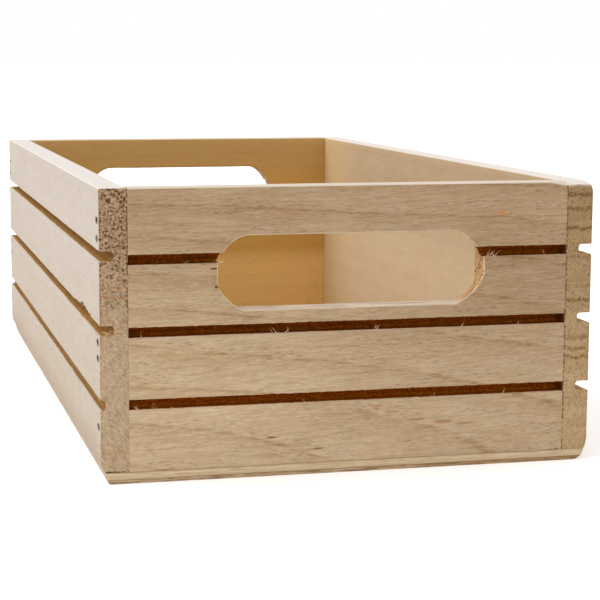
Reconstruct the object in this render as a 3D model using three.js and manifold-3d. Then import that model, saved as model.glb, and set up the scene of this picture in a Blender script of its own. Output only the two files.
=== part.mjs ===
// Wooden apple crate: four grooved boards butted at the corners, on a plywood bottom,
// held by brads. Millimetres, +Z up. The origin is the middle of the underside,
// X runs across the crate, Y runs along it, and the front end panel faces -Y.
import * as THREE from 'three';
import { mergeVertices } from 'three/addons/utils/BufferGeometryUtils.js';
import Module from 'manifold-3d';

const wasm = await Module();
wasm.setup();

// Driving dimensions of the crate.
const WIDTH = 200;
const LENGTH = 380;
const HEIGHT = 114;
const BOARD = 11;
const PLY = 4.4;
const ARRIS = 0.8;

// Rectangular grooves that divide each board's outer face into four slats.
// The left board's lowest groove was milled shallower than the rest.
const GROOVE = { depth: 5.5, height: 3.7 };
const SHALLOW_GROOVE_DEPTH = 2.0;
const END_GROOVES = [30.7, 58.7, 86.7];
const LEFT_GROOVES = [31.0, 59.7, 88.3];
const LEFT_GROOVE_DEPTHS = [SHALLOW_GROOVE_DEPTH, GROOVE.depth, GROOVE.depth];

// The lower long edges, sanded off across the side boards and the plywood.
const SANDED_EDGE = { rise: 7, run: 5 };

// Hand hole through each end panel. The rear one sits slightly higher.
const HANDLE = { width: 108, height: 29, radius: 12, centre: 80.6 };
const REAR_HANDLE_RISE = 2;

// Brads: wire nails with a small head, sunk below the face they are driven into.
const SIDE_BRAD = { length: 25, shank: 0.6, head: 1.0, headDepth: 0.7, point: 2 };
const BOTTOM_BRAD = { ...SIDE_BRAD, length: 18 };
const BRAD_SINK = 0.5;
const BRAD_GAP = 0.3;
const BRAD_SIDES = 10;
const SIDE_BRAD_HEIGHTS = [21.6, 48.4, 54.6, 94.6, 101.6];
const BOTTOM_BRADS_ALONG = [-150, -50, 50, 150];
const BOTTOM_BRADS_ACROSS = [-60, 0, 60];
const BOTTOM_BRAD_INSET = 7.5;

const WALL = HEIGHT - PLY;
const INNER_X = WIDTH / 2 - BOARD;
const INNER_Y = LENGTH / 2 - BOARD;
const END_MIDDLE = LENGTH / 2 - BOARD / 2;
const SANDED_AT_PLY_TOP = SANDED_EDGE.run * (1 - PLY / SANDED_EDGE.rise);

const UP = new THREE.Vector3(0, 0, 1);

function woodMaterial(color) {
  return new THREE.MeshStandardMaterial({ color, roughness: 0.8, metalness: 0 });
}

function steelMaterial() {
  return new THREE.MeshStandardMaterial({ color: 0x6e6a64, roughness: 0.45, metalness: 1 });
}

// Shared corners become one vertex, and slivers left at a lathe's poles are dropped.
function weld(geometry) {
  const bare = new THREE.BufferGeometry();
  bare.setAttribute('position', geometry.getAttribute('position'));
  bare.setIndex(geometry.getIndex());
  const merged = mergeVertices(bare, 1e-4);
  const index = merged.getIndex().array;
  const kept = [];
  for (let i = 0; i < index.length; i += 3) {
    const [a, b, c] = index.slice(i, i + 3);
    if (a !== b && b !== c && c !== a) kept.push(a, b, c);
  }
  merged.setIndex(kept);
  return merged;
}

function toSolid(geometry) {
  const welded = weld(geometry);
  const vertProperties = new Float32Array(welded.getAttribute('position').array);
  const triVerts = new Uint32Array(welded.getIndex().array);
  return new wasm.Manifold(new wasm.Mesh({ numProp: 3, vertProperties, triVerts }));
}

function fromSolid(solid) {
  const { vertProperties, triVerts } = solid.getMesh();
  const geometry = new THREE.BufferGeometry();
  geometry.setAttribute('position', new THREE.BufferAttribute(vertProperties, 3));
  geometry.setIndex(new THREE.BufferAttribute(triVerts, 1));
  geometry.computeVertexNormals();
  return geometry;
}

function subtract(geometry, cutters) {
  let solid = toSolid(geometry);
  for (const cutter of cutters) solid = solid.subtract(toSolid(cutter));
  return fromSolid(solid);
}

function shapeFrom(points) {
  return new THREE.Shape(points.map(([x, y]) => new THREE.Vector2(x, y)));
}

// Extrudes a shape drawn in X and height, centred along Y.
function extrudeUpright(shape, length) {
  const geometry = new THREE.ExtrudeGeometry(shape, {
    depth: length,
    bevelEnabled: false,
    curveSegments: 8,
  });
  geometry.translate(0, 0, -length / 2);
  geometry.rotateX(Math.PI / 2);
  return geometry;
}

// Cross-section of a board. X is 0 at the inner face and BOARD at the outer face.
function boardSection(grooves, sanded, depths = []) {
  const foot = sanded
    ? [[BOARD - SANDED_AT_PLY_TOP, 0], [BOARD, SANDED_EDGE.rise - PLY]]
    : [[BOARD, 0]];
  const notches = grooves.flatMap((centre, i) => {
    const low = centre - PLY - GROOVE.height / 2;
    const high = low + GROOVE.height;
    const floor = BOARD - (depths[i] ?? GROOVE.depth);
    return [[BOARD, low], [floor, low], [floor, high], [BOARD, high]];
  });
  return shapeFrom([
    [0, 0],
    ...foot,
    ...notches,
    [BOARD, WALL - ARRIS],
    [BOARD - ARRIS, WALL],
    [ARRIS, WALL],
    [0, WALL - ARRIS],
  ]);
}

// A mesh standing on the plywood with its inner face on the given side.
function wall(name, color, geometry, turn, x, y) {
  const mesh = new THREE.Mesh(geometry, woodMaterial(color));
  mesh.name = name;
  mesh.rotation.z = turn;
  mesh.position.set(x, y, PLY);
  return mesh;
}

function sideBoard(name, color, grooves, side, depths) {
  const geometry = extrudeUpright(boardSection(grooves, true, depths), LENGTH);
  return wall(name, color, geometry, side > 0 ? 0 : Math.PI, side * INNER_X, 0);
}

function handleCutter(centre) {
  const { width, height, radius } = HANDLE;
  const [w, h] = [width / 2, height / 2];
  const shape = new THREE.Shape();
  shape.moveTo(-w + radius, -h);
  shape.lineTo(w - radius, -h);
  shape.absarc(w - radius, -h + radius, radius, -Math.PI / 2, 0, false);
  shape.lineTo(w, h - radius);
  shape.absarc(w - radius, h - radius, radius, 0, Math.PI / 2, false);
  shape.lineTo(-w + radius, h);
  shape.absarc(-w + radius, h - radius, radius, Math.PI / 2, Math.PI, false);
  shape.lineTo(-w, -h + radius);
  shape.absarc(-w + radius, -h + radius, radius, Math.PI, 1.5 * Math.PI, false);
  const cutter = extrudeUpright(shape, BOARD * 2);
  cutter.rotateZ(Math.PI / 2);
  cutter.translate(BOARD / 2, 0, centre - PLY);
  return cutter;
}

function endPanel(name, color, end, handleCentre) {
  const blank = extrudeUpright(boardSection(END_GROOVES, false), 2 * INNER_X);
  const geometry = subtract(blank, [handleCutter(handleCentre)]);
  return wall(name, color, geometry, (end * Math.PI) / 2, 0, end * INNER_Y);
}

function plywoodBottom() {
  const underHalf = WIDTH / 2 - SANDED_EDGE.run;
  const topHalf = WIDTH / 2 - SANDED_AT_PLY_TOP;
  const section = shapeFrom([
    [-underHalf, 0],
    [underHalf, 0],
    [topHalf, PLY],
    [-topHalf, PLY],
  ]);
  const mesh = new THREE.Mesh(extrudeUpright(section, LENGTH), woodMaterial(0xc9b491));
  mesh.name = 'plywood_bottom';
  return mesh;
}

// Outline of a brad from its point, at height 0, up to the top of its head.
function bradOutline({ length, shank, head, headDepth, point }, gap, rise) {
  return [
    [0, -gap],
    [shank + gap, point],
    [shank + gap, length - headDepth - gap],
    [head + gap, length - headDepth - gap],
    [head + gap, length + rise],
    [0, length + rise],
  ].map(([x, y]) => new THREE.Vector2(x, y));
}

// A turned solid whose point is at the origin and whose head is towards +Z.
function turned(outline) {
  const geometry = new THREE.LatheGeometry(outline, BRAD_SIDES);
  geometry.rotateX(Math.PI / 2);
  return weld(geometry);
}

// A brad driven against `out`, with its head just below the face at `face`.
function driveBrad(name, size, face, out) {
  const mesh = new THREE.Mesh(turned(bradOutline(size, 0, 0)), steelMaterial());
  mesh.name = name;
  mesh.quaternion.setFromUnitVectors(UP, out);
  mesh.position.copy(face).addScaledVector(out, -BRAD_SINK - size.length);
  mesh.updateMatrixWorld();
  return mesh;
}

// The hole that a brad sits in, open through the face it was driven into.
function bradHole(brad, size) {
  const hole = turned(bradOutline(size, BRAD_GAP, BRAD_SINK + BOARD));
  return hole.applyMatrix4(brad.matrixWorld);
}

function sideBrads() {
  const corners = [['front_left', -1, -1], ['front_right', 1, -1],
                   ['rear_left', -1, 1], ['rear_right', 1, 1]];
  return corners.flatMap(([corner, side, end]) =>
    SIDE_BRAD_HEIGHTS.map((height, i) => {
      const face = new THREE.Vector3((side * WIDTH) / 2, end * END_MIDDLE, height);
      const out = new THREE.Vector3(side, 0, 0);
      return driveBrad(`side_brad_${corner}_${i + 1}`, SIDE_BRAD, face, out);
    }));
}

function bottomBrads() {
  const down = new THREE.Vector3(0, 0, -1);
  const x = WIDTH / 2 - BOTTOM_BRAD_INSET;
  const sides = [['left', -1], ['right', 1]].flatMap(([name, side]) =>
    BOTTOM_BRADS_ALONG.map((y, i) =>
      driveBrad(`bottom_brad_${name}_${i + 1}`, BOTTOM_BRAD, new THREE.Vector3(side * x, y, 0), down)));
  const ends = [['front', -1], ['rear', 1]].flatMap(([name, end]) =>
    BOTTOM_BRADS_ACROSS.map((across, i) => {
      const face = new THREE.Vector3(across, end * END_MIDDLE, 0);
      return driveBrad(`bottom_brad_${name}_${i + 1}`, BOTTOM_BRAD, face, down);
    }));
  return [...sides, ...ends];
}

// Cuts the holes, given in the crate's frame, out of a placed mesh that they reach.
function drill(mesh, holes) {
  mesh.updateMatrixWorld();
  const reach = new THREE.Box3().setFromObject(mesh);
  const toMesh = mesh.matrixWorld.clone().invert();
  const cutters = holes
    .filter((hole) => {
      hole.computeBoundingBox();
      return hole.boundingBox.intersectsBox(reach);
    })
    .map((hole) => hole.clone().applyMatrix4(toMesh));
  mesh.geometry = subtract(mesh.geometry, cutters);
}

function buildCrate() {
  const boards = [
    sideBoard('left_side_board', 0xd7cabc, LEFT_GROOVES, -1, LEFT_GROOVE_DEPTHS),
    sideBoard('right_side_board', 0xc8a982, END_GROOVES, 1),
    endPanel('front_end_panel', 0xb79f7f, -1, HANDLE.centre),
    endPanel('rear_end_panel', 0xb18a58, 1, HANDLE.centre + REAR_HANDLE_RISE),
    plywoodBottom(),
  ];
  const side = sideBrads();
  const bottom = bottomBrads();
  const holes = [
    ...side.map((brad) => bradHole(brad, SIDE_BRAD)),
    ...bottom.map((brad) => bradHole(brad, BOTTOM_BRAD)),
  ];
  for (const board of boards) drill(board, holes);

  const crate = new THREE.Group();
  crate.name = 'apple_crate';
  crate.add(...boards, ...side, ...bottom);
  return crate;
}

export default buildCrate();
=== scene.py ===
"""Looks of the wooden apple crate: milled boards, plywood bottom, brads and loose fibres.

Lengths are metres in the crate's own frame: X across, Y along, Z up, front at -Y.
"""
import math
import random

import bmesh
import bpy
import numpy as np
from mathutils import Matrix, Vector, noise


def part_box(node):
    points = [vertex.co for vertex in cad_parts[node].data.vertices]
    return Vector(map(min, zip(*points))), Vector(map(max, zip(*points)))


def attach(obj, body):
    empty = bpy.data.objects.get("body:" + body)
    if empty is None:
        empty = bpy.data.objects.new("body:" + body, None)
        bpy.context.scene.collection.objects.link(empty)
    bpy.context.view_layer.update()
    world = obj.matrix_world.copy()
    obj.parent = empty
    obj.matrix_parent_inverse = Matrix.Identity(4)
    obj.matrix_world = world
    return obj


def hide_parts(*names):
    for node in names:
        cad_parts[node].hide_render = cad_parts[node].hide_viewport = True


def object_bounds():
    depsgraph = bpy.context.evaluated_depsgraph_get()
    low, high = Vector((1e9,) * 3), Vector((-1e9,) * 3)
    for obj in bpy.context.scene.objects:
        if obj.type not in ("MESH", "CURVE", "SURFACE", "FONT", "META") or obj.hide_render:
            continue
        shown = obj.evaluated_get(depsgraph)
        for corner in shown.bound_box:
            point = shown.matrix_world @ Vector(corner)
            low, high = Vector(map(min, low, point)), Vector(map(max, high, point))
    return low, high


MM = 0.001

# Layout of the boards, as in the CAD part, except that the grooves are 0.2 mm higher.
END_GROOVES = [30.7 * MM, 58.7 * MM, 86.7 * MM]
LEFT_GROOVES = [31.0 * MM, 59.7 * MM, 88.3 * MM]
GROOVE_HEIGHT = 3.9 * MM
GROOVE_DEPTH = 5.5 * MM
SHALLOW_GROOVE_DEPTH = 2.0 * MM
HANDLE_WIDTH = 108 * MM
HANDLE_HEIGHT = 29 * MM
FRONT_HANDLE_Z = 80.6 * MM
REAR_HANDLE_Z = 82.6 * MM

# Corners of the hand holes as (radius, power), upper right first. A lower power is
# flatter. The front hole's right-hand corners tighten towards the inside.
FRONT_CORNERS_OUTSIDE = [(12 * MM, 1.35), (12 * MM, 1.7), (10 * MM, 1.3), (12.5 * MM, 1.5)]
FRONT_CORNERS_INSIDE = [(8 * MM, 1.5), (12 * MM, 1.7), (10 * MM, 1.3), (8 * MM, 1.3)]
REAR_CORNERS = [(12 * MM, 1.7)] * 3 + [(12.5 * MM, 1.55)]

# Easing of edges, and the gap left at each end of the end panels.
ARRIS = 0.8 * MM
END_ARRIS = 0.05 * MM
LIP = 0.4 * MM
GROOVE_FLOOR_EASE = 1.3 * MM
HANDLE_ARRIS = 0.9 * MM
JOINT_GAP = 0.02 * MM

# Rim sanded round at the front right-hand corner, as (full radius, distance from the
# corner where it starts, distance over which it grows).
FRONT_RIM_SANDING = (4.4 * MM, 21 * MM, 10 * MM)
RIGHT_RIM_SANDING = (3.0 * MM, 14 * MM, 12 * MM)

# Sanded feet of the side boards, as (back from the outer face, up, easing).
LEFT_FOOT = [(1.8 * MM, 4.4 * MM, LIP), (0.5 * MM, 7.2 * MM, MM), (0.0, 9.4 * MM, MM)]
RIGHT_FOOT = [(1.1 * MM, 4.4 * MM, LIP), (0.4 * MM, 6.2 * MM, MM), (0.0, 8.4 * MM, MM)]

# Half sizes of the craters and stains round the brad heads.
SIDE_CRATER = (0.95 * MM, 3.0 * MM, 1.45 * MM)
SIDE_STAIN = (2 * MM, 3.2 * MM, 1.4 * MM)
BOTTOM_CRATER = (1.3 * MM, 1.3 * MM, 0.95 * MM)

# Mesh density.
FACE_STEP = 3 * MM
SIDE_STEP = 1.25 * MM
END_STEP = 0.9 * MM
PLYWOOD_STEP = 3 * MM

# Studio. The camera's turn is in degrees, its lens and sensor in millimetres.
FLOOR_TONE = (0.96, 0.96, 0.96)
FLOOR_GLOW = 0.16
WORLD_LIGHT = 1.0
KEY_STRENGTH = 1.7
KEY_SPREAD = 50
KEY_FROM = (-1.2, 0.1, 1.1)
CAMERA_FROM = (-0.18841, -0.83444, 0.1644)
CAMERA_TURN = (82.2102, -0.1688, -13.4867)
CAMERA_SHIFT = (0.05, -0.0167)
LENS = 103.67
SENSOR = 36


# ---------------- outlines

def eased_loop(corners, step):
    """Points round a closed outline. Each corner is (t, z, radius of its easing)."""
    points = []
    count = len(corners)
    for i, (t, z, radius) in enumerate(corners):
        here = Vector((t, z))
        before = Vector(corners[i - 1][:2]) - here
        after = Vector(corners[(i + 1) % count][:2]) - here
        start = here + before.normalized() * min(radius, before.length * 0.45)
        end = here + after.normalized() * min(radius, after.length * 0.45)
        for u in (0, 0.33, 0.67, 1):
            points.append(start * (1 - u) ** 2 + here * 2 * u * (1 - u) + end * u * u)
        following = Vector(corners[(i + 1) % count][:2])
        radius_next = min(corners[(i + 1) % count][2], after.length * 0.45)
        stop = following - after.normalized() * radius_next
        pieces = max(1, math.ceil((stop - end).length / step))
        points += [end.lerp(stop, k / pieces) for k in range(1, pieces)]
    return np.array([tuple(p) for p in points])


def outward(loop):
    """Unit normals of a counter-clockwise outline at its points."""
    along = np.roll(loop, -1, 0) - np.roll(loop, 1, 0)
    normal = np.stack([along[:, 1], -along[:, 0]], 1)
    return normal / np.maximum(np.linalg.norm(normal, axis=1), 1e-9)[:, None]


def board_corners(thickness, low, high, grooves, depths, foot, floor_ease=LIP):
    """Corners of a board's section, t being 0 on the inner face."""
    corners = [(0, low, LIP)] + foot
    for centre, depth in zip(grooves, depths):
        bottom, top = centre - GROOVE_HEIGHT / 2, centre + GROOVE_HEIGHT / 2
        floor = thickness - depth
        corners += [(thickness, bottom, LIP), (floor, bottom, floor_ease),
                    (floor, top, floor_ease), (thickness, top, LIP)]
    return corners + [(thickness, high, ARRIS), (0, high, ARRIS)]


def stations(start, stop, step):
    """Places along a board with how far the section is drawn in at each."""
    ease = [(0.0, END_ARRIS), (0.3 * END_ARRIS, 0.3 * END_ARRIS), (END_ARRIS, 0.0)]
    count = math.ceil((stop - start - 2 * END_ARRIS) / step)
    middle = np.linspace(start + END_ARRIS, stop - END_ARRIS, count + 1)[1:-1]
    return ([(start + s, inset) for s, inset in ease]
            + [(s, 0.0) for s in middle]
            + [(stop - s, inset) for s, inset in reversed(ease)])


def lip_weights(loop, thickness, grooves):
    """How much each point of a section belongs to each groove lip."""
    lips = [c + side * GROOVE_HEIGHT / 2 for c in grooves for side in (-1, 1)]
    near_face = np.exp(-((loop[:, 0] - thickness) / (0.8 * MM)) ** 2)
    return [near_face * np.exp(-((loop[:, 1] - z) / (0.6 * MM)) ** 2) for z in lips]


def torn(s, seed):
    """Raggedness of a milled lip at a place along it, with a few deeper tears."""
    fine = noise.noise(Vector((s * 700, seed, 0.5)))
    broad = noise.noise(Vector((s * 170, seed, 7.5)))
    tear = max(0.0, noise.noise(Vector((s * 260, seed, 3.1))) - 0.42)
    return (0.15 * fine + 0.07 * broad + 1.1 * tear) * MM


def sweep_board(name, loop, marks, place, thickness, grooves, seed):
    """A closed board mesh: the section carried along the marks, with ragged lips and a faint
    waviness.
    """
    normals = outward(loop)
    weights = lip_weights(loop, thickness, grooves)
    rings = []
    for s, inset in marks:
        ring = loop - normals * inset
        for k, weight in enumerate(weights):
            away = 1 if k % 2 else -1
            ring[:, 1] += away * weight * torn(s, seed + 3 * k)
        wave = [noise.noise(Vector((s * 25, t * 60 + seed, z * 60))) for t, z in ring]
        ring = ring + normals * np.array(wave)[:, None] * 0.06 * MM
        rings.append([place(t, s, z) for t, z in ring])
    return new_mesh(name, [v for ring in rings for v in ring], faces_of(rings))


# ---------------- meshes

def add_object(name, data):
    """A new object, put into the scene."""
    thing = bpy.data.objects.new(name, data)
    bpy.context.scene.collection.objects.link(thing)
    return thing


def faces_of(rings):
    """Quads between neighbouring rings of points, and a cap at each end."""
    count = len(rings[0])
    faces = []
    for r in range(len(rings) - 1):
        a, b = r * count, (r + 1) * count
        faces += [(a + i, a + (i + 1) % count, b + (i + 1) % count, b + i)
                  for i in range(count)]
    last = (len(rings) - 1) * count
    return faces + [tuple(range(count)), tuple(last + i for i in reversed(range(count)))]


def new_mesh(name, verts, faces):
    """An object from vertices and faces, closed, with its faces turned outwards."""
    mesh = bpy.data.meshes.new(name)
    mesh.from_pydata(verts, [], faces)
    bm = bmesh.new()
    bm.from_mesh(mesh)
    bmesh.ops.triangulate(bm, faces=[f for f in bm.faces if len(f.verts) > 4])
    bmesh.ops.recalc_face_normals(bm, faces=bm.faces)
    if bm.calc_volume(signed=True) < 0:
        bmesh.ops.reverse_faces(bm, faces=bm.faces)
    bm.to_mesh(mesh)
    bm.free()
    return add_object(name, mesh)


def superellipse_corner(centre, radius, power, quadrant):
    """Points of one rounded corner of the hand hole, flatter as power falls."""
    points = []
    for i in range(9):
        angle = (quadrant + i / 8) * math.pi / 2
        c, s = math.cos(angle), math.sin(angle)
        x = math.copysign(abs(c) ** (2 / power), c) * radius
        z = math.copysign(abs(s) ** (2 / power), s) * radius
        points.append((centre[0] + x, centre[1] + z))
    return points


def handle_outline(centre_z, corners):
    """The hand hole's outline from four (radius, power) corners, upper right first."""
    half_w, half_h = HANDLE_WIDTH / 2, HANDLE_HEIGHT / 2
    signs = [(1, 1), (-1, 1), (-1, -1), (1, -1)]
    straight_pieces = [28, 4, 28, 4]
    rounded = []
    for quadrant, ((sx, sz), (radius, power)) in enumerate(zip(signs, corners)):
        centre = (sx * (half_w - radius), centre_z + sz * (half_h - radius))
        rounded.append(superellipse_corner(centre, radius, power, quadrant))
    points = []
    for quadrant, corner in enumerate(rounded):
        start, stop = Vector(corner[-1]), Vector(rounded[(quadrant + 1) % 4][0])
        pieces = straight_pieces[quadrant]
        points += corner + [tuple(start.lerp(stop, k / pieces)) for k in range(1, pieces)]
    return np.array(points)


def handle_cutter(near_outline, far_outline, y_low, y_high, seed):
    """The solid that cuts a hand hole, flared at both faces so its edges are eased."""
    radius = HANDLE_ARRIS
    flare = [(-2 * MM, radius)] + [
        (d * radius, radius * (1 - math.sqrt(1 - (1 - d) ** 2))) for d in (0, 0.12, 0.35, 0.65, 1)]
    rings = [(y_low + d, grow) for d, grow in flare]
    inner = np.linspace(y_low + 2.5 * MM, y_high - 2.5 * MM, 5)
    rings += [(y, 0.0) for y in inner]
    rings += [(y_high - d, grow) for d, grow in reversed(flare)]
    solid = []
    for y, grow in rings:
        ring = []
        through = min(max((y - y_low) / (y_high - y_low), 0), 1)
        outline = near_outline * (1 - through) + far_outline * through
        for (x, z), (nx, nz) in zip(outline, outward(outline)):
            rough = noise.noise(Vector((x * 160, y * 90 + seed, z * 160))) * 0.12 * MM
            ring.append((x + nx * (grow + rough), y, z + nz * (grow + rough)))
        solid.append(ring)
    return new_mesh("cutter", [v for ring in solid for v in ring], faces_of(solid))


def blob(centre, size, seed):
    """A small irregular solid, for chips, pits and pin marks."""
    bm = bmesh.new()
    bmesh.ops.create_icosphere(bm, subdivisions=2, radius=1)
    for v in bm.verts:
        v.co *= 1 + 0.3 * noise.noise(v.co * 1.4 + Vector((seed, 0, 0)))
        v.co = Vector(centre) + Vector(a * b for a, b in zip(v.co, size))
    mesh = bpy.data.meshes.new("cutter")
    bm.to_mesh(mesh)
    bm.free()
    return add_object("cutter", mesh)


def join(pieces):
    """One object from several; the first keeps its name."""
    bm = bmesh.new()
    for piece in pieces:
        bm.from_mesh(piece.data)
    bm.to_mesh(pieces[0].data)
    bm.free()
    for piece in pieces[1:]:
        bpy.data.objects.remove(piece)
    return pieces[0]


def cut(piece, cutters, overlapping=False):
    """Takes the cutters out of the piece, removes them, and leaves clean triangles."""
    tool = join(cutters)
    change = piece.modifiers.new("cut", "BOOLEAN")
    change.operation = "DIFFERENCE"
    change.solver = "EXACT"
    change.use_self = overlapping
    change.object = tool
    evaluated = piece.evaluated_get(bpy.context.evaluated_depsgraph_get())
    result = bpy.data.meshes.new_from_object(evaluated)
    piece.modifiers.clear()
    bm = bmesh.new()
    bm.from_mesh(result)
    bmesh.ops.triangulate(bm, faces=bm.faces)
    bm.to_mesh(result)
    bm.free()
    piece.data = result
    bpy.data.objects.remove(tool)
    return piece


def finish_piece(piece, material, node):
    """Shading, material, and the piece's place in the frame."""
    piece.data.materials.clear()
    piece.data.materials.append(material)
    piece.data.polygons.foreach_set("use_smooth", [True] * len(piece.data.polygons))
    piece.data.set_sharp_from_angle(angle=math.radians(38))
    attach(piece, "root")
    if node:
        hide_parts(node)
    return piece


def fade(u):
    """0 below 0, 1 above 1, and a smooth rise between."""
    u = min(max(u, 0.0), 1.0)
    return u * u * (3 - 2 * u)


def onto_rounding(inward, down, radius):
    """Offset from a rounded edge's centre to a point brought onto it, None if it's inside."""
    a, b = radius - inward, radius - down
    over = math.hypot(a, b)
    if radius > 0 and a > 0 and b > 0 and over > radius:
        return a * radius / over, b * radius / over
    return None


def sand_front_right_corner(piece, crate):
    """Rounds the rim's front and right-hand edges off where they run to their corner."""
    low, high = crate
    for v in piece.data.vertices:
        full, start, run = FRONT_RIM_SANDING
        radius = full * fade((v.co.x - (high[0] - start)) / run)
        offset = onto_rounding(v.co.y - low[1], high[2] - v.co.z, radius)
        if offset:
            v.co.y = low[1] + radius - offset[0]
            v.co.z = high[2] - radius + offset[1]
        full, start, run = RIGHT_RIM_SANDING
        radius = full * fade((low[1] + start - v.co.y) / run)
        offset = onto_rounding(high[0] - v.co.x, high[2] - v.co.z, radius)
        if offset:
            v.co.x = high[0] - radius + offset[0]
            v.co.z = high[2] - radius + offset[1]


# ---------------- materials

class Signal:
    """A node's output, which can be reckoned with like a number."""

    def __init__(self, graph, socket):
        self.graph = graph
        self.socket = socket

    def __add__(self, other):
        return self.graph.math("ADD", self, other)

    def __sub__(self, other):
        return self.graph.math("SUBTRACT", self, other)

    def __rsub__(self, other):
        return self.graph.math("SUBTRACT", other, self)

    def __mul__(self, other):
        return self.graph.math("MULTIPLY", self, other)

    def __abs__(self):
        return self.graph.math("ABSOLUTE", self)

    __radd__ = __add__
    __rmul__ = __mul__


class Graph:
    """A material's node graph, with short calls for the nodes that the looks use."""

    def __init__(self, name):
        self.material = bpy.data.materials.new(name)
        self.material.use_nodes = True
        self.tree = self.material.node_tree
        self.shader = self.tree.nodes["Principled BSDF"]
        coord = self.tree.nodes.new("ShaderNodeTexCoord")
        self.place = Signal(self, coord.outputs["Object"])
        self.normal = Signal(self, coord.outputs["Normal"])

    def put(self, socket, value):
        if isinstance(value, Signal):
            self.tree.links.new(value.socket, socket)
        elif value is not None:
            socket.default_value = value

    def math(self, operation, a, b=None, clamp=False):
        node = self.tree.nodes.new("ShaderNodeMath")
        node.operation = operation
        node.use_clamp = clamp
        self.put(node.inputs[0], a)
        self.put(node.inputs[1], b)
        return Signal(self, node.outputs[0])

    def vector(self, operation, a, b=None):
        node = self.tree.nodes.new("ShaderNodeVectorMath")
        node.operation = operation
        self.put(node.inputs[0], a)
        self.put(node.inputs["Scale" if operation == "SCALE" else 1], b)
        return Signal(self, node.outputs["Value" if operation == "LENGTH" else "Vector"])

    def mapped(self, vector, scale, turn=(0, 0, 0), shift=(0, 0, 0)):
        node = self.tree.nodes.new("ShaderNodeMapping")
        self.put(node.inputs["Vector"], vector)
        node.inputs["Scale"].default_value = scale
        node.inputs["Rotation"].default_value = [math.radians(a) for a in turn]
        node.inputs["Location"].default_value = shift
        return Signal(self, node.outputs[0])

    def millimetres(self):
        return self.vector("MULTIPLY", self.place, (1000, 1000, 1000))

    def noise(self, vector, stretch, detail=2.0, roughness=0.5, colour=False):
        node = self.tree.nodes.new("ShaderNodeTexNoise")
        self.put(node.inputs["Vector"], self.vector("MULTIPLY", vector, stretch))
        node.inputs["Scale"].default_value = 1
        node.inputs["Detail"].default_value = detail
        node.inputs["Roughness"].default_value = roughness
        return Signal(self, node.outputs["Color" if colour else "Fac"])

    def cells(self, vector, stretch):
        node = self.tree.nodes.new("ShaderNodeTexVoronoi")
        self.put(node.inputs["Vector"], self.vector("MULTIPLY", vector, stretch))
        node.inputs["Scale"].default_value = 1
        return Signal(self, node.outputs["Distance"])

    def smooth(self, value, low, high, to_low=0.0, to_high=1.0):
        """An eased step from to_low at low to to_high at high."""
        node = self.tree.nodes.new("ShaderNodeMapRange")
        node.interpolation_type = "SMOOTHSTEP"
        self.put(node.inputs["Value"], value)
        for socket, number in zip(node.inputs[1:5], (low, high, to_low, to_high)):
            socket.default_value = number
        return Signal(self, node.outputs["Result"])

    def fall(self, value, low, high):
        """An eased step from 1 at low to 0 at high."""
        return self.smooth(value, low, high, 1.0, 0.0)

    def mix(self, factor, a, b, blend="MIX"):
        node = self.tree.nodes.new("ShaderNodeMix")
        node.data_type = "RGBA"
        node.blend_type = blend
        self.put(node.inputs[0], factor)
        self.put(node.inputs[6], a if isinstance(a, Signal) else (*a, 1))
        self.put(node.inputs[7], b if isinstance(b, Signal) else (*b, 1))
        return Signal(self, node.outputs[2])

    def axis(self, vector, index):
        node = self.tree.nodes.new("ShaderNodeSeparateXYZ")
        self.put(node.inputs[0], vector)
        return Signal(self, node.outputs[index])

    def finish(self, colour, roughness, height, depth, strength=0.6, gloss=0.25):
        bump = self.tree.nodes.new("ShaderNodeBump")
        bump.inputs["Strength"].default_value = strength
        bump.inputs["Distance"].default_value = depth
        self.put(bump.inputs["Height"], height)
        self.put(self.shader.inputs["Normal"], Signal(self, bump.outputs[0]))
        self.put(self.shader.inputs["Base Color"], colour)
        self.put(self.shader.inputs["Roughness"], roughness)
        self.put(self.shader.inputs["Specular IOR Level"], gloss)
        return self.material


def scaled(colour, factor):
    return tuple(c * factor for c in colour)


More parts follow.
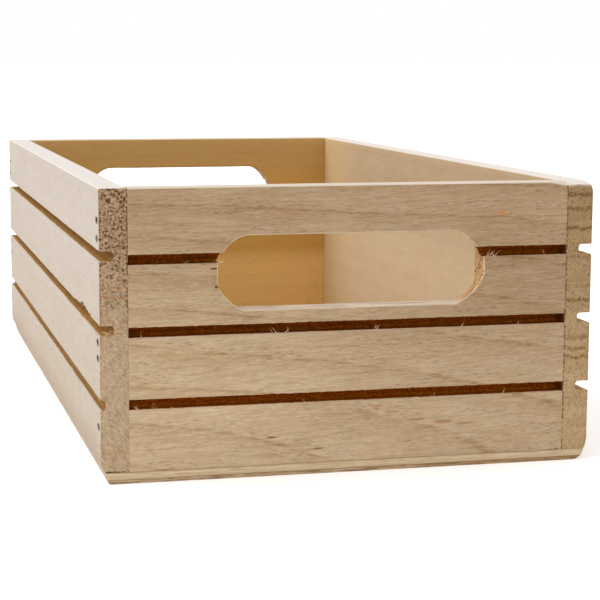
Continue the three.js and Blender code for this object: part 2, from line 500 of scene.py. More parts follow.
class Wood(Graph):
    """Solid wood whose rings, fibres and pores run through the board along its grain."""

    def __init__(self, name, look):
        super().__init__(name)
        self.look = {**PLAIN_LOOK, **look}
        self.set_places()
        self.set_rings()
        self.set_fibres()
        colour = self.shaded(self.side_grain())
        colour = self.painted_light_on_tops(self.end_grain(colour))
        colour = self.painted_groove_shade(colour)
        if "hole" in self.look:
            colour = self.painted_hole_highlights(colour)
        if "joint" in self.look:
            colour = self.dark_joints(colour)
        self.surface(self.stained(colour))

    def set_places(self):
        """Millimetres along, across and up the grain, and how deep under the outer face."""
        look = self.look
        self.along_y = look["grain"] == "y"
        turn = (0, look["rise"], (-90 if self.along_y else 0) + look["drift"])
        self.mm = self.mapped(self.place, (1000, 1000, 1000), turn, look["shift"])
        wander = self.noise(self.mm, (0.010, 0.035, 0.035), 2, colour=True)
        wander = self.vector("SUBTRACT", wander, (0.5, 0.5, 0.5))
        wander = self.vector("MULTIPLY", wander, (0, look["wander"], look["wander"]))
        self.grain = self.vector("ADD", self.mm, wander)
        self.x, self.y, self.height = (self.axis(self.place, i) * 1000 for i in range(3))
        outer_axis, outer = look["outer"]
        self.depth = abs(self.axis(self.place, outer_axis) - outer) * 1000
        self.inner = self.smooth(self.depth, 6.5, 8.5)
        self.outside = 1 - self.inner

    def set_rings(self):
        """Growth rings round a pith that lies off the board and may lean through it."""
        look = self.look
        lean = self.axis(self.grain, 0) * look["sweep"]
        across = self.axis(self.grain, 1) + lean - look["pith"][0]
        upward = self.axis(self.grain, 2) - look["pith"][1]
        radius = self.math("SQRT", across * across + upward * upward)
        jitter = self.noise(self.grain, (0.02, 0.25, 0.25), 3)
        phase = self.math("DIVIDE", radius, look["ring"]) + jitter * 0.15
        phase = self.math("FRACT", phase)
        self.early = self.fall(phase, 0.0, 0.28)
        self.late = self.smooth(phase, 0.35, 0.94) * self.fall(phase, 0.94, 1.0)
        self.line = self.smooth(phase, 0.86, 0.93) * self.fall(phase, 0.93, 1.0)

    def set_fibres(self):
        """Streaks and threads of fibre, and pores, which are long thin vessels."""
        self.streak = self.noise(self.grain, (0.06, 0.9, 0.9), 4, 0.65)
        self.thread = self.noise(self.grain, (0.24, 2.3, 2.3), 3, 0.65)
        vessel = self.cells(self.grain, (0.20, 1.25, 1.25))
        clump = self.noise(self.grain, (0.03, 0.25, 0.25), 2)
        pore = self.fall(vessel, 0.14, 0.30) * self.smooth(clump, 0.42, 0.60)
        self.pore = self.math("MAXIMUM", pore, self.fall(vessel, 0.16, 0.36) * self.early)

    def side_grain(self):
        """The colour of faces along the grain: streaks, rings, flecks and pores."""
        look = self.look
        cloud = self.noise(self.mm, (0.012, 0.045, 0.045), 2)
        patch = self.noise(self.mm, (0.06, 0.12, 0.12), 2)
        fleck = self.cells(self.vector("ADD", self.grain, (31, 17, 5)), (0.24, 1.5, 1.5))
        fleck = self.fall(fleck, 0.12, 0.34)
        tone = (self.smooth(self.streak, 0.3, 0.7) * 0.36 + self.late * look["late"]
                + self.smooth(self.thread, 0.25, 0.75) * 0.40
                + self.smooth(cloud, 0.35, 0.65) * 0.14)
        tone = self.math("MULTIPLY", tone, look["contrast"], clamp=True)
        colour = self.mix(tone, look["light"], look["dark"])
        colour = self.mix(self.smooth(patch, 0.45, 0.7) * 0.22, colour, look["warm"])
        if "inner" in look:
            colour = self.mix(self.inner, colour, self.mix(tone * 0.5, *look["inner"]))
        broken = (self.smooth(self.noise(self.grain, (0.05, 0.6, 0.6), 2), 0.38, 0.60)
                  * self.smooth(self.thread, 0.36, 0.56, 0.35, 1.0))
        colour = self.mix(self.line * broken * look["line"], colour,
                          look.get("line_tone", scaled(look["dark"], 0.6)))
        colour = self.mix(fleck * look["fleck"], colour, scaled(look["light"], 1.2))
        return self.mix(self.pore * look["dash"], colour, scaled(look["dark"], 0.45))

    def shaded(self, colour):
        """Tone that drifts over the board with height and with the place along it: painted shade
        towards the top of the right board's inner face, and on the front's outer face a darker
        tone towards the top and the right, partly painted shade and partly weathering.
        """
        look, height = self.look, self.height
        upper_shade, right_shade = look["shade"]
        if upper_shade or right_shade:
            by_height = self.smooth(height, *look["shade_from"], 0.0, upper_shade)
            by_place = (self.smooth(self.x, -70, 80, 0.0, right_shade)
                        * self.smooth(height, 0, 40, 0.45, 1.0)
                        * self.smooth(height, 80, 100, 1.0, 0.2))
            shaded_side = self.outside if "hole" in look else self.inner
            loss = (by_height + by_place) * shaded_side
            loss = self.vector("SCALE", (1.0, 1.18, 1.36), loss)
            colour = self.vector("MULTIPLY", colour, self.vector("SUBTRACT", (1, 1, 1), loss))
        for tint, start, full, face in look["tints"]:
            side = self.inner if face == "inner" else self.outside
            colour = self.mix(self.smooth(height, start, full) * side, colour, tint, "MULTIPLY")
        # Painted shade near the rear corner: the inner face turns warmer and yellower towards it.
        if "far_end" in look:
            far = self.smooth(self.y, 95, 179, 0.0, 0.65) * self.inner
            colour = self.mix(far, colour, look["far_end"])
        return colour

    def end_grain(self, colour):
        """End grain over the side grain: darker, with open round pores in bands."""
        look, grain, height = self.look, self.grain, self.height
        facing = abs(self.axis(self.normal, 1 if self.along_y else 0))
        self.end = self.smooth(facing, *look["end_from"])
        self.speck = self.noise(grain, (0.02, 1.15, 1.15), 3, 0.7)
        smear = self.vector("SCALE", self.noise(grain, (0.02, 1.3, 1.3), 2, colour=True), 1.7)
        tube = self.cells(self.vector("ADD", grain, smear), (0.02, 0.66, 0.78))
        crowd = self.noise(grain, (0.01, 0.42, 0.42), 3)
        self.open_pore = (self.fall(tube, 0.26, 0.48) * self.smooth(crowd, 0.36, 0.52)
                          * self.smooth(height, *look["end_pores"], 0.0, look["end_open"]))
        slant = self.mapped(self.place, (1000, 1000, 1000), (0, 45, 0))
        hatch = self.smooth(self.noise(slant, (1.5, 0.01, 0.4), 2, 0.6), 0.35, 0.65)
        tone = (self.smooth(self.speck, 0.3, 0.7) * look["end_speck"]
                + hatch * look["end_hatch"] + self.late * look["end_bands"])
        tone = self.math("MULTIPLY", tone, 1.0, clamp=True)
        cut_face = self.mix(tone, look["end_light"], look["end_dark"])
        if "end_top" in look:
            top = self.mix(self.smooth(self.speck, 0.3, 0.7), *look["end_top"])
            cut_face = self.mix(self.smooth(height, *look["end_pores"]), cut_face, top)
        cut_face = self.mix(self.open_pore, cut_face, look["end_pore"])
        level = height + (self.noise(self.mm, (0.1, 0.25, 0.05), 2) - 0.5) * 3.0
        for line, half, strength in look["end_lines"]:
            near = self.smooth(abs(level - line), 0.2 * half, half, strength, 0.0)
            near = near * self.smooth(self.speck, 0.38, 0.58, 0.25, 1.0)
            cut_face = self.mix(near, cut_face, look["end_line"])
        if "end_shade" in look:
            upward = self.smooth(height, 12, 108)
            cut_face = self.mix(upward, cut_face, look["end_shade"], "MULTIPLY")
        return self.mix(self.end, colour, cut_face)

    def painted_light_on_tops(self, colour):
        """Faces that look up are painted paler, as painted light from above: the rim, and the
        mottled ledges below it.
        """
        look = self.look
        facing_up = self.axis(self.normal, 2)
        rim = self.smooth(self.height, 108, 110)
        ledge_mottle = self.smooth(self.noise(self.mm, (0.05, 0.42, 0.42), 3, 0.7), 0.42, 0.58)
        ledge = self.mix(ledge_mottle, scaled(look["ledge"], 1.16), scaled(look["ledge"], 0.74))
        flat = self.smooth(facing_up, 0.78, 0.95)
        colour = self.mix(flat * (1 - rim) * 0.75, colour, ledge)
        return self.mix(self.smooth(facing_up, 0.35, 0.75) * rim * 0.85, colour, look["top"])

    def painted_groove_shade(self, colour):
        """Painted shade inside the milled grooves: dark orange-brown from a small depth down to
        the groove's floor, patchy, and paler towards the lips.
        """
        look, height = self.look, self.height
        first, pitch = look["grooves"]
        offset = self.math("PINGPONG", height - first, pitch / 2)
        self.inside = (self.fall(offset, look["lip_reach"], look["lip_reach"] + 0.3)
                       * self.smooth(height, 14, 15) * self.fall(height, 100, 101))
        deep = self.smooth(self.depth, 0.25, look["groove_shade_depth"]) * self.fall(self.depth, 6, 6.2)
        self.groove_shade = self.inside * deep * (1 - self.end) * look["groove_shade"]
        groove_tone = self.mix(self.smooth(self.streak, 0.3, 0.7), look["groove"],
                        scaled(look["groove"], 0.6))
        groove_tone = self.mix(self.smooth(offset, 0.3, 1.8, 0.0, 0.5), groove_tone, look["groove_edge"])
        groove_mottle = self.noise(self.mm, (0.9, 1.6, 1.6), 3, 0.7)
        groove_mottle = (self.smooth(groove_mottle, 0.32, 0.62, 1.25, look["groove_mottle"])
                * self.smooth(height, 40, 42, *look["groove_fade"]))
        return self.mix(self.groove_shade, colour, self.vector("SCALE", groove_tone, groove_mottle))

    def painted_hole_highlights(self, colour):
        """Painted highlights on the eased edges round the hand hole."""
        half_width, low, high = self.look["hole"]
        tilt = abs(self.axis(self.normal, 1))
        hole_highlight = (self.smooth(tilt, 0.12, 0.4) * self.fall(tilt, 0.8, 0.95)
                * self.fall(abs(self.x), half_width, half_width + 1) * 0.45
                * self.smooth(self.height, low - 1, low)
                * self.fall(self.height, high, high + 1))
        return self.mix(hole_highlight, colour, self.look["ledge"])

    def dark_joints(self, colour):
        """Dark gaps where a side board meets its neighbours, torn skin at its end, and painted
        shade behind the end panel.
        """
        look, mm, end = self.look, self.mm, self.end
        near = abs(self.x - look["joint"] * 1000)
        dots = self.smooth(self.noise(mm, (0.5, 0.8, 0.8), 2, 0.6), 0.44, 0.56)
        gap = (self.fall(near, 0.35, 0.85) * dots * end
               * self.smooth(self.height, *look["joint_from"]))
        colour = self.mix(gap * look["joint_dark"], colour, look["end_pore"])
        skin = (self.fall(self.depth, 0.35, 0.9) * end
                * self.smooth(self.noise(mm, (0.6, 0.6, 0.6), 2, 0.6), 0.46, 0.58))
        colour = self.mix(skin * 0.35, colour, look["end_pore"])
        seam = (self.fall(self.height, 4.8, 5.2) * end
                * self.smooth(self.noise(mm, (1.0, 1.0, 1.0), 2), 0.42, 0.5))
        colour = self.mix(seam * look["seam"], colour, look["end_pore"])
        # The part of the inner face behind the end panel, seen down the grooves, is painted dark:
        # painted shade over the raw milled wood.
        behind = (self.smooth(abs(self.y), 179, 179.4) * self.fall(near, 0.3, 0.5)
                  * (1 - end) * self.inside)
        return self.mix(behind, colour, look["behind"])

    def stained(self, colour):
        """Small stains, each with its own place, size and colour."""
        for spot, size, stain in self.look["stains"]:
            away = self.vector("SUBTRACT", self.place, spot)
            away = self.vector("LENGTH", self.vector("DIVIDE", away, size))
            away = away + (self.thread - 0.5) * 0.7
            colour = self.mix(self.smooth(away, 0.6, 1.35, 0.92, 0.0), colour, stain)
        return colour

    def surface(self, colour):
        """Fine relief of fibres and pores, rough, and without gloss in the grooves' painted shade.
        """
        relief = (self.streak * 0.4 + self.thread * 0.7 + self.pore * -0.7 + self.late * 0.15
                  + self.end * self.open_pore * -1.6 + self.end * self.speck * 0.8)
        rough = 0.70 + self.streak * 0.16 + self.end * 0.08
        self.finish(colour, rough, relief, self.look["relief"] * MM,
                    gloss=(1 - self.groove_shade) * 0.22)


def plywood(name):
    """Plywood: long grain on both faces, and at the edges a pale ply over a darker one."""
    g = Graph(name)
    mm = g.millimetres()
    height = g.axis(mm, 2)
    wander = g.noise(mm, (0.02, 0.006, 0.02), 2, colour=True)
    bent = g.vector("ADD", mm, g.vector("MULTIPLY", wander, (14, 0, 0)))
    grain = g.noise(g.vector("MULTIPLY", bent, (1, 0.02, 1)), (0.55, 0.55, 0.6), 4, 0.65)
    thread = g.noise(g.vector("MULTIPLY", bent, (1, 0.05, 1)), (1.8, 1.8, 1.8), 2, 0.6)
    rings = g.noise(g.vector("MULTIPLY", bent, (1, 0.08, 1)), (0.03, 0.03, 0.1), 1)
    rings = g.math("PINGPONG", rings * 22, 1)
    cloud = g.noise(mm, (0.02, 0.008, 0.02), 2)
    face = g.mix(g.smooth(grain, 0.3, 0.7), srgb(206, 184, 152), srgb(190, 164, 128))
    face = g.mix(g.smooth(thread, 0.35, 0.7) * 0.3, face, srgb(176, 146, 108))
    face = g.mix(g.smooth(rings, 0.82, 1.0) * 0.3, face, srgb(164, 128, 86))
    face = g.mix(g.smooth(cloud, 0.4, 0.7) * 0.25, face, srgb(196, 158, 112))

    # Edges. The glue line wavers a little.
    fibre = g.noise(g.mapped(mm, (0.10, 0.10, 1.3)), (1, 1, 1), 4, 0.6)
    level = height - g.noise(mm, (0.12, 0.12, 0.02), 2) * 0.5
    upper = g.mix(g.smooth(fibre, 0.3, 0.7), srgb(200, 179, 148), srgb(172, 147, 115))
    upper = g.mix(g.fall(level, 1.3, 2.6), upper, srgb(182, 158, 124))
    # A painted shade line along the top of the edge, in the gap under the boards.
    upper = g.mix(g.smooth(height, 3.9, 4.3, 0.0, 0.7), upper, srgb(150, 122, 90))
    lower = g.mix(g.smooth(fibre, 0.35, 0.65), srgb(184, 160, 126), srgb(136, 106, 74))
    rightward = g.smooth(g.axis(mm, 0), -40, 60, 0.0, 0.8)
    lower = g.mix(rightward, lower, (0.78, 0.68, 0.52), "MULTIPLY")
    edge = g.mix(g.smooth(level, 1.15, 1.4), lower, upper)
    glue = g.smooth(level, 0.95, 1.2) * g.fall(level, 1.3, 1.55)
    edge = g.mix(glue * 0.55, edge, srgb(104, 72, 42))
    voids = g.cells(mm, (0.16, 0.16, 0.9))
    voids = g.fall(voids, 0.08, 0.2) * g.fall(level, 1.2, 1.5)
    edge = g.mix(voids * 0.8, edge, srgb(62, 38, 18))

    # Edges facing across the crate are painted darker and bluer: painted shade.
    side = g.smooth(abs(g.axis(g.normal, 0)), 0.4, 0.7)
    edge = g.mix(side, edge, (0.80, 0.80, 0.92), "MULTIPLY")
    flatness = g.smooth(abs(g.axis(g.normal, 2)), 0.7, 0.95)
    colour = g.mix(flatness, edge, face)
    relief = grain * flatness * 0.4 + fibre * 0.6 + glue * -0.6 + voids * -0.8
    return g.finish(colour, 0.68 + fibre * 0.15, relief, 0.15 * MM)


def steel(name):
    """Tarnished wire: dull grey, browner in patches."""
    g = Graph(name)
    mm = g.millimetres()
    tarnish = g.noise(mm, (1.1, 1.1, 1.1), 3)
    scratch = g.noise(mm, (6, 6, 0.8), 2)
    colour = g.mix(g.smooth(tarnish, 0.4, 0.65), srgb(92, 86, 80), srgb(66, 50, 38))
    g.shader.inputs["Metallic"].default_value = 0.8
    return g.finish(colour, 0.42 + tarnish * 0.3, scratch, 0.03 * MM)


def fibre_material(name):
    """Loose wood fibres: pale, and brown in places."""
    g = Graph(name)
    mm = g.millimetres()
    shade = g.noise(mm, (0.3, 0.3, 0.3), 2)
    colour = g.mix(g.smooth(shade, 0.35, 0.65), srgb(222, 200, 168), srgb(170, 130, 84))
    thread = g.noise(mm, (8, 8, 8), 1)
    return g.finish(colour, 0.7 + thread * 0.2, thread, 0.02 * MM)


def floor_material(name):
    """Pale matt studio floor with a faint mottle."""
    g = Graph(name)
    mottle = g.noise(g.place, (9, 9, 9), 4)
    fine = g.noise(g.place, (300, 300, 300), 2)
    colour = g.mix(mottle, FLOOR_TONE, scaled(FLOOR_TONE, 0.985))
    g.shader.inputs["Emission Color"].default_value = (1, 1, 1, 1)
    g.shader.inputs["Emission Strength"].default_value = FLOOR_GLOW
    return g.finish(colour, 0.9, fine, 0.02 * MM, 0.2)


def srgb(red, green, blue):
    """A linear colour from display values."""
    def linear(v):
        v /= 255
        return v / 12.92 if v <= 0.04045 else ((v + 0.055) / 1.055) ** 2.4
    return linear(red), linear(green), linear(blue)


# ---------------- looks

# What every board's look starts from, and what the keys mean. Lengths are millimetres,
# angles degrees. "rise" and "drift" tilt the grain up and across the board, and "wander"
# bends it. Rings "ring" wide lie round the "pith". "line" ends a ring, "late" is its late
# wood, "fleck" and "dash" are pale and dark pores. The groove mottle and groove shade keys
# paint patchy shade inside the grooves.
PLAIN_LOOK = {
    "sweep": 0.0, "relief": 0.14,
    # Shade towards the top and towards the right, and the heights between which it grows.
    "shade": (0.0, 0.0), "shade_from": (25, 110),
    # Tints as (colour, height where it starts, height where it is full, inner or outer).
    "tints": [],
    # End grain: how far a face turns to show it, open pores, speckle, hatching and bands,
    # and dark lines across it as (height, half height, strength).
    "end_from": (0.6, 0.9), "end_open": 1.0, "end_speck": 0.5, "end_hatch": 0.0,
    "end_bands": 0.5, "end_lines": [],
    # How far from a groove's middle the painted groove shade reaches, and how deep it is at its
    # full.
    "lip_reach": 2.3, "groove_shade_depth": 1.2,
    # Gaps at the end panel and the plywood, and stains as (place, half size, colour).
    "joint_dark": 0.8, "seam": 0.0, "stains": [],
    # The rim and the ledges below it, painted paler as painted light, and the heights over which
    # open pores set in.
    "top": srgb(213, 206, 199), "ledge": srgb(208, 192, 170), "end_pores": (0, 1),
}
FRONT_LOOK = {
    "grain": "x", "rise": 2.2, "drift": 1.5, "shift": (40, 190, 0), "sweep": -0.26,
    "pith": (45, -25), "ring": 13.0, "wander": 7, "contrast": 0.95, "line": 0.7,
    "line_tone": srgb(142, 104, 62),
    "late": 0.14, "light": srgb(197, 175, 145), "dark": srgb(151, 123, 88),
    "warm": srgb(186, 146, 104), "fleck": 0.32,
    "end_light": srgb(206, 168, 120), "end_dark": srgb(170, 124, 74),
    "end_pore": srgb(120, 78, 36), "end_from": (0.25, 0.55), "dash": 0.45,
    "top": srgb(205, 193, 176), "ledge": srgb(212, 194, 172),
    "grooves": (30.7, 28.0), "groove": srgb(134, 62, 4), "groove_edge": srgb(158, 92, 20),
    "groove_mottle": 0.5, "groove_shade": 0.995, "groove_fade": (1.3, 1.0), "shade": (0.25, 0.17),
    "hole": (54.6, 64, 97),
}
REAR_LOOK = {
    **FRONT_LOOK, "shift": (-310, -190, 25), "pith": (-48, -20), "ring": 8.0,
    "inner": (srgb(232, 191, 122), srgb(199, 152, 82)),
    "contrast": 0.6, "shade": (0.0, 0.0),
    # The first tint is painted shade: the inner face darker and more orange above about 37 to 50
    # mm.
    "tints": [((0.75, 0.67, 0.47), 37, 50, "inner"), ((0.88, 0.93, 1.25), 85, 105, "inner")],
    "hole": (54.6, 66, 99),
    "sweep": 0.05, "line": 0.15, "dash": 0.2, "fleck": 0.1,
}
LEFT_LOOK = {
    "grain": "y", "rise": 0.8, "drift": 0.8, "shift": (11, -40, 13),
    "pith": (-60, -30), "ring": 7.0, "wander": 8, "contrast": 0.75, "dash": 0.22,
    "light": srgb(181, 171, 161), "dark": srgb(158, 144, 129), "warm": srgb(174, 154, 131),
    "end_light": srgb(185, 162, 133), "end_dark": srgb(136, 108, 78), "end_speck": 0.4,
    "end_top": (srgb(176, 149, 117), srgb(108, 79, 51)), "end_hatch": 0.4,
    "end_pore": srgb(76, 45, 18), "end_pores": (44, 98), "end_bands": 0.12,
    "end_line": srgb(150, 98, 50), "end_lines": [(76.2, 1.0, 0.45), (72.6, 1.3, 0.4),
                                                 (12.0, 2.5, 0.25)],
    "inner": (srgb(202, 180, 149), srgb(178, 151, 115)),
    "tints": [((0.96, 0.93, 0.88), 100, 20, "outer"), ((0.88, 0.84, 0.78), 22, 8, "outer")],
    "grooves": (31.0, 28.65), "groove": srgb(162, 114, 44), "groove_edge": srgb(174, 134, 78),
    "behind": srgb(162, 114, 44),
    "groove_mottle": 0.75, "groove_fade": (0.72, 1.0), "lip_reach": 4.4, "late": 0.06,
    "groove_shade": 0.95, "groove_shade_depth": 0.8, "relief": 0.10, "fleck": 0.12, "line": 0.04,
    "seam": 0.9, "joint_from": (58, 68),
}
RIGHT_LOOK = {
    "grain": "y", "rise": -1.0, "drift": 1.2, "shift": (70, 95, -40),
    "pith": (6, 250), "ring": 12.0, "wander": 6, "contrast": 0.4, "dash": 0.12,
    "light": srgb(202, 180, 149), "dark": srgb(178, 151, 115), "warm": srgb(193, 160, 119),
    "shade": (0.20, 0.0), "shade_from": (60, 95), "fleck": 0.08, "line": 0.10,
    "end_light": srgb(179, 151, 114), "end_dark": srgb(138, 109, 76), "end_speck": 0.55,
    "end_pore": srgb(92, 56, 24), "end_bands": 0.15, "late": 0.10, "lip_reach": 4.4,
    "end_open": 0.3, "end_line": srgb(116, 72, 30), "end_shade": (0.70, 0.68, 0.60),
    "end_lines": [(108.8, 1.5, 0.85), (103.1, 1.5, 0.8), (95.0, 1.2, 0.85), (83.4, 1.2, 0.5),
                  (71.5, 1.5, 0.4), (65.9, 1.2, 0.85), (50.8, 1.6, 0.5), (46.3, 1.3, 0.7),
                  (42.8, 1.2, 0.85), (24, 3.0, 0.25)],
    "grooves": (30.7, 28.0), "groove": srgb(176, 122, 62), "groove_edge": srgb(196, 156, 104),
    "groove_mottle": 0.8, "groove_fade": (1.0, 1.0), "behind": srgb(96, 50, 10), "groove_shade": 0.6,
    "far_end": srgb(206, 174, 122), "joint_dark": 0.9, "joint_from": (0, 1),
}

# Marks on the front panel: (x, height, half width, half height, colour).
FRONT_STAINS = [
    (61.2, 101.9, 1.5, 0.8, (172, 112, 56)), (-32.8, 15.4, 2.2, 0.5, (124, 90, 56)),
    (-14.0, 10.0, 1.9, 0.45, (128, 94, 60)), (10.0, 26.1, 3.0, 0.35, (158, 118, 74)),
    (16.6, 23.4, 3.0, 0.4, (158, 118, 74)), (26.4, 19.9, 4.0, 0.5, (152, 112, 68)),
    (38.0, 18.5, 4.0, 0.6, (152, 112, 68)), (47.0, 17.4, 3.0, 0.5, (158, 118, 74)),
    (-55.6, 82.6, 1.4, 0.4, (124, 101, 78)), (-54.8, 75.5, 0.7, 0.6, (112, 89, 68))]

# Bites out of a lip of the left board: (distance from the front, half height, half
# length, half depth). Gaps under its end: (distance from the outer face, half size).
LIP_CHIPS = [(50, 3.0, 6.0, 3.6), (60, 1.5, 5.0, 2.4), (42, 2.0, 5.0, 2.6),
             (35, 1.3, 4.5, 2.0), (28, 1.0, 4.0, 1.5), (70, 1.0, 6.0, 1.5)]
FOOT_GAPS = [(1.9, 0.5), (3.4, 0.7), (4.8, 0.6), (6.4, 0.45), (8.6, 0.4)]

# Torn fibres: (x from the middle, groove counted from the bottom, how many).
FRONT_TUFTS = [(-86, 0, 4), (-80, 0, 3), (-72, 0, 2), (-20, 0, 1), (34, 0, 2), (62, 0, 1),
               (-84, 1, 2), (-31, 1, 3), (-27, 1, 2), (10, 1, 5), (45, 1, 1), (70, 1, 1),
               (-66, 2, 1), (-53, 2, 3), (56, 2, 7), (58, 2, 6), (80, 2, 1)]
RIM_FUZZ = [56, 58, 71, 73, -34]
NOTCH_TUFTS = [(3.0, 6), (4.6, 8)]


# ---------------- pieces

def brads(prefix):
    """The boxes of the CAD brads whose names start so."""
    return [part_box(n) for n in sorted(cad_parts) if n.startswith(prefix)]


def side_pits(corner, face_x, seed):
    """A ragged little crater over each brad head in a side board."""
    pits = []
    for i, (low, high) in enumerate(brads("side_brad_" + corner)):
        middle = (low + high) / 2
        pits.append(blob((face_x, middle.y, middle.z), SIDE_CRATER, seed + i))
    return pits


def side_board(node, side, grooves, depths, foot, look, seed):
    """A side board: grooved, eased and pitted over its brads."""
    low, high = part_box(node)
    thickness = high.x - low.x
    inner, outer = (low.x, high.x) if side > 0 else (high.x, low.x)
    foot = [(thickness - back, up, easing) for back, up, easing in foot]
    corners = board_corners(thickness, low.z, high.z, grooves, depths, foot, GROOVE_FLOOR_EASE)
    loop = eased_loop(corners, FACE_STEP)
    marks = stations(low.y, high.y, SIDE_STEP)

    def place(t, s, z):
        return inner + side * t, s, z

    piece = sweep_board(node.replace("side_board", "board"), loop, marks, place,
                        thickness, grooves, seed)
    name = "left" if side < 0 else "right"
    pits = side_pits("front_" + name, outer, seed) + side_pits("rear_" + name, outer, seed + 9)
    if side < 0:
        pits += left_board_chips(outer, low, grooves)
    else:
        sand_front_right_corner(piece, cad_box)
    cut(piece, pits, overlapping=side < 0)
    heads = [(a + b) / 2 for a, b in brads("side_brad_front_" + name)]
    stains = [((outer, h.y, h.z), SIDE_STAIN, srgb(34, 21, 11)) for h in heads]
    full_look = {**look, "outer": (0, outer), "joint": inner, "stains": stains}
    material = Wood(node + "_wood", full_look).material
    return finish_piece(piece, material, node)


def left_board_chips(outer, low, grooves):
    """Bites torn out of the middle groove's upper lip, and small gaps over the plywood."""
    lip = grooves[1] + GROOVE_HEIGHT / 2
    chips = []
    for i, (back, height, length, depth) in enumerate(LIP_CHIPS):
        centre = (outer, low.y + back * MM, lip)
        chips.append(blob(centre, (depth * MM, length * MM, height * MM), 40 + i))
    for i, (x, size) in enumerate(FOOT_GAPS):
        centre = (outer + x * MM, low.y, low.z + 0.2 * MM)
        chips.append(blob(centre, (size * 1.5 * MM, 0.8 * MM, size * MM), 60 + i))
    return chips


def end_panel(node, end, handle_z, handle_corners, look, seed):
    """An end panel: grooved, with its hand hole cut through."""
    low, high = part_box(node)
    thickness = high.y - low.y
    inner, outer = (low.y, high.y) if end > 0 else (high.y, low.y)
    depths = [GROOVE_DEPTH] * len(END_GROOVES)
    foot = [(thickness, low.z, LIP)]
    corners = board_corners(thickness, low.z, high.z, END_GROOVES, depths, foot)
    loop = eased_loop(corners, FACE_STEP)
    marks = stations(low.x + JOINT_GAP, high.x - JOINT_GAP, END_STEP)

    def place(t, s, z):
        return s, inner + end * t, z

    piece = sweep_board(node.replace("end_panel", "panel"), loop, marks, place,
                        thickness, END_GROOVES, seed)
    near, far = (handle_outline(handle_z, corners) for corners in handle_corners)
    cutters = [handle_cutter(near, far, low.y, high.y, seed)]
    if end < 0:
        cutters += front_panel_marks(outer, low, high)
        sand_front_right_corner(piece, cad_box)
    cut(piece, cutters, overlapping=end < 0)
    material = Wood(node + "_wood", {**look, "outer": (1, outer)}).material
    return finish_piece(piece, material, node)


def front_panel_marks(outer, low, high):
    """Two pin marks beside the hand hole and small gaps over the plywood."""
    edge = -HANDLE_WIDTH / 2
    marks = [((edge - 1.6 * MM, 82.6 * MM), (1.5, 0.9, 0.4)),
             ((edge - 0.7 * MM, 75.5 * MM), (0.7, 0.8, 0.6)),
             ((high.x - 4.6 * MM, low.z + 0.1 * MM), (1.5, 1.2, 0.45)),
             ((high.x - 2.2 * MM, low.z + 0.4 * MM), (1.0, 0.9, 0.3))]
    return [blob((x, outer, z), scaled(size, MM), 80 + i)
            for i, ((x, z), size) in enumerate(marks)]


def plywood_bottom():
    """The bottom sheet, its long edges sanded round with the boards above them."""
    low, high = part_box("plywood_bottom")
    under, top = low.z, high.z
    corners = [(-96.8 * MM, under, 0.4 * MM), (95.2 * MM, under, 1.4 * MM),
               (97.9 * MM, under + 1.7 * MM, 1.2 * MM), (98.9 * MM, top, 0.3 * MM),
               (-98.2 * MM, top, 0.3 * MM), (-97.5 * MM, under + 1.5 * MM, 0.6 * MM)]
    loop = eased_loop(corners, FACE_STEP)
    marks = stations(low.y, high.y, PLYWOOD_STEP)
    piece = sweep_board("plywood", loop, marks, lambda t, s, z: (t, s, z), 1.0, [], 5.0)
    pits = []
    for i, (a, b) in enumerate(brads("bottom_brad_")):
        middle = (a + b) / 2
        pits.append(blob((middle.x, middle.y, under), BOTTOM_CRATER, 20 + i))
    cut(piece, pits)
    return finish_piece(piece, plywood("plywood_layers"), "plywood_bottom")


def fibre(start, direction, length, width, rng):
    """Vertices and faces of one thin tapered splinter that curls as it goes."""
    ring = [(1, 0), (-0.5, 0.87), (-0.5, -0.87)]
    at, heading = Vector(start), Vector(direction).normalized()
    curl = Vector([rng.uniform(-0.5, 0.5) for _ in range(3)])
    verts, faces = [], []
    steps = 5
    for k in range(steps):
        side = heading.orthogonal().normalized()
        other = heading.cross(side)
        thick = width * (1 - k / steps)
        verts += [tuple(at + side * (a * thick) + other * (b * thick)) for a, b in ring]
        at = at + heading * (length / steps)
        heading = (heading + curl * 0.35).normalized()
    verts.append(tuple(at))
    for k in range(steps - 1):
        for i in range(3):
            a, b = 3 * k + i, 3 * k + (i + 1) % 3
            faces.append((a, b, b + 3, a + 3))
    last = 3 * (steps - 1)
    faces += [(last + i, last + (i + 1) % 3, len(verts) - 1) for i in range(3)]
    faces.append((2, 1, 0))
    return verts, faces


def tuft(sprigs, spot, outward_dir, along, count, rng, reach=1.0, girth=1.0):
    """A few splinters from one spot, leaning along the groove and out of it."""
    for _ in range(count):
        jitter = rng.uniform(-1.2, 1.2) * MM
        start = Vector(spot) + Vector(along) * jitter
        lean = rng.uniform(-1.0, 1.0)
        direction = (Vector(outward_dir) * rng.uniform(0.2, 0.8) + Vector(along) * lean
                     + Vector((0, 0, rng.uniform(0.5, 1.2))))
        length = rng.uniform(1.0, 2.8) * reach * MM
        width = rng.uniform(0.06, 0.13) * girth * MM
        sprigs.append(fibre(start, direction, length, width, rng))


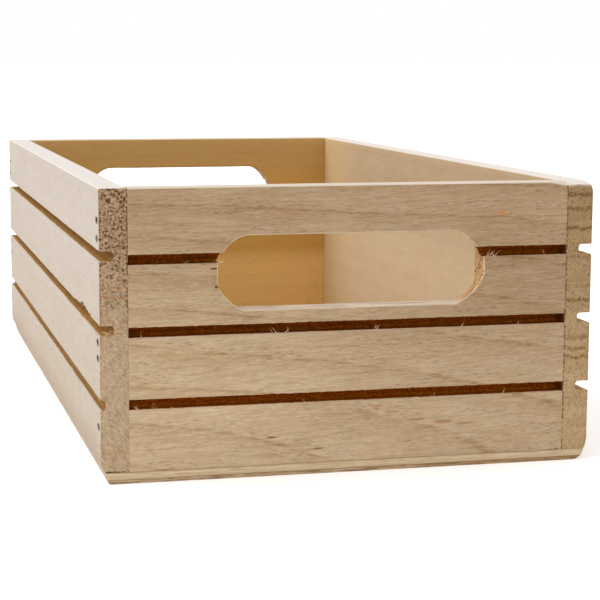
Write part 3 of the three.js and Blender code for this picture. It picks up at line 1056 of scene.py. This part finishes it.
def loose_fibres():
    """Splinters that milling left on the groove lips and round the rim."""
    rng = random.Random(11)
    sprigs = []
    low, high = cad_box
    for x, groove, count in FRONT_TUFTS:
        lip = END_GROOVES[groove] - GROOVE_HEIGHT / 2 + 0.1 * MM
        spot = (x * MM, low[1] + 0.5 * MM, lip - 0.2 * MM)
        tuft(sprigs, spot, (0, -0.3, 0), (1, 0, 0), count, rng, 1.25, 1.4)
    for _ in range(12):
        groove = rng.choice(END_GROOVES[:2])
        spot = (rng.uniform(-85, 85) * MM, high[1] - 0.5 * MM, groove - GROOVE_HEIGHT / 2)
        tuft(sprigs, spot, (0, 0.3, 0), (1, 0, 0), 2, rng)
    for side, grooves in ((-1, LEFT_GROOVES), (1, END_GROOVES)):
        for _ in range(14):
            groove = rng.choice(grooves)
            y = rng.uniform(-180, 180) * MM
            spot = (side * (high[0] - 0.5 * MM), y, groove - GROOVE_HEIGHT / 2)
            tuft(sprigs, spot, (0.3 * side, 0, 0), (0, 1, 0), 2, rng, 0.8)
    for x, count in NOTCH_TUFTS:
        notch = (low[0] + x * MM, low[1] + 0.4 * MM, LEFT_GROOVES[1] - GROOVE_HEIGHT / 2)
        tuft(sprigs, notch, (0, -0.2, 0), (1, 0, 0), count, rng, 1.3, 2.0)
    for x in RIM_FUZZ:
        spot = (x * MM, low[1] + 10.6 * MM, high[2] - 0.8 * MM)
        tuft(sprigs, spot, (0, 0.2, 0), (1, 0, 0), 1, rng, 0.55)
    verts, faces = [], []
    for points, polygons in sprigs:
        base = len(verts)
        verts += points
        faces += [tuple(base + i for i in polygon) for polygon in polygons]
    piece = new_mesh("torn_fibres", verts, faces)
    return finish_piece(piece, fibre_material("torn_fibre"), None)


def studio_floor():
    """A pale floor just under the crate."""
    bpy.ops.mesh.primitive_plane_add(size=80, location=(0, 0, -0.06 * MM))
    floor = bpy.context.object
    floor.name = "studio_floor"
    floor.data.materials.append(floor_material("studio_floor"))


def studio_light():
    """White surroundings and one big soft light from the upper left."""
    world = bpy.data.worlds.new("studio")
    bpy.context.scene.world = world
    world.use_nodes = True
    background = world.node_tree.nodes["Background"]
    background.inputs["Color"].default_value = (1, 1, 1, 1)
    background.inputs["Strength"].default_value = WORLD_LIGHT

    key = bpy.data.lights.new("key", "SUN")
    key.angle = math.radians(KEY_SPREAD)
    key.energy = KEY_STRENGTH
    lamp = add_object("key", key)
    lamp.location = KEY_FROM
    lamp.rotation_euler = (-Vector(KEY_FROM)).to_track_quat("-Z", "Y").to_euler()


def studio_camera():
    """The camera, low in front of the crate and to its left."""
    lens = bpy.data.cameras.new("camera")
    lens.lens = LENS
    lens.sensor_width = SENSOR
    lens.shift_x, lens.shift_y = CAMERA_SHIFT
    lens.clip_start = 0.01
    camera = add_object("camera", lens)
    camera.location = CAMERA_FROM
    camera.rotation_euler = [math.radians(a) for a in CAMERA_TURN]
    bpy.context.scene.camera = camera
    bpy.context.scene.view_settings.view_transform = "Standard"


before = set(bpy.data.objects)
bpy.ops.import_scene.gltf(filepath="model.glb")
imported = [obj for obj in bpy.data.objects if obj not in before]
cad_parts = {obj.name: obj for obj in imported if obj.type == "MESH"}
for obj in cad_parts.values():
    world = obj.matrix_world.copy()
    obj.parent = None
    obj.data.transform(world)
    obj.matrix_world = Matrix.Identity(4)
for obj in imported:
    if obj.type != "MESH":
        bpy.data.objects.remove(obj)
cad_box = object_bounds()

side_board("left_side_board", -1, LEFT_GROOVES,
           [SHALLOW_GROOVE_DEPTH, GROOVE_DEPTH, GROOVE_DEPTH], LEFT_FOOT, LEFT_LOOK, 1.0)
side_board("right_side_board", 1, END_GROOVES,
           [GROOVE_DEPTH] * 3, RIGHT_FOOT, RIGHT_LOOK, 2.0)
front_stains = [((x * MM, cad_box[0][1], z * MM), (w * MM, 3 * MM, h * MM), srgb(*stain))
                for x, z, w, h, stain in FRONT_STAINS]
end_panel("front_end_panel", -1, FRONT_HANDLE_Z, (FRONT_CORNERS_OUTSIDE, FRONT_CORNERS_INSIDE),
          {**FRONT_LOOK, "stains": front_stains}, 3.0)
end_panel("rear_end_panel", 1, REAR_HANDLE_Z, (REAR_CORNERS, REAR_CORNERS), REAR_LOOK, 4.0)
plywood_bottom()
loose_fibres()
brad_steel = steel("brad_steel")
for node_name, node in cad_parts.items():
    if "brad" in node_name:
        for material_slot in node.material_slots:
            material_slot.material = brad_steel
studio_floor()
studio_light()
studio_camera()
